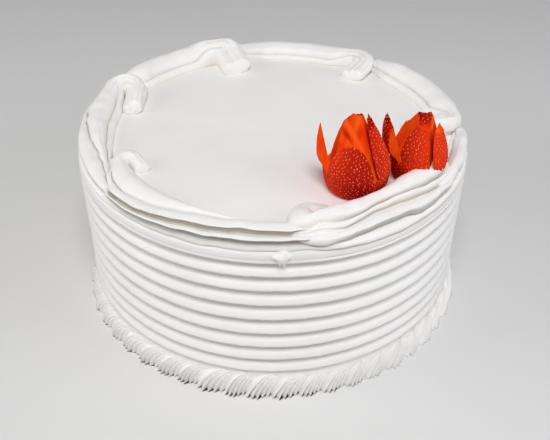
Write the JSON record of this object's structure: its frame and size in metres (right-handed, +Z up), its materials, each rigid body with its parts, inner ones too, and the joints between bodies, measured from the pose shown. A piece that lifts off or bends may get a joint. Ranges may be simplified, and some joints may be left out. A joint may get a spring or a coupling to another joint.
{
  "type": "tres leches cake",
  "caption": "Round tres leches cake in combed whipped cream, with a piped scroll border on the rim, a shell border at the foot and strawberries cut like tulips on top.",
  "frame": {"origin": "middle of the flat underside, on the surface that the cake stands on", "axes": "+Z up; the side that faces the camera is -Y, and the strawberries stand towards +X and -Y"},
  "size_m": [0.2275, 0.2285, 0.1404],
  "materials": {
    "whipped_cream": "soft, slightly moist white whipped cream, with a faint sheen and no hard gloss",
    "strawberry": "wet, glossy red skin with pale seeds, and orange-red cut flesh"
  },
  "bodies": {
    "root": {"iced_cake": "whipped_cream", "shell_border": "whipped_cream", "border_scroll_1": "whipped_cream", "border_scroll_2": "whipped_cream", "border_scroll_3": "whipped_cream", "border_scroll_4": "whipped_cream", "border_scroll_5": "whipped_cream", "border_scroll_6": "whipped_cream", "border_scroll_7": "whipped_cream", "strawberry_left": "strawberry", "strawberry_right": "strawberry"}
  },
  "joints": []
}
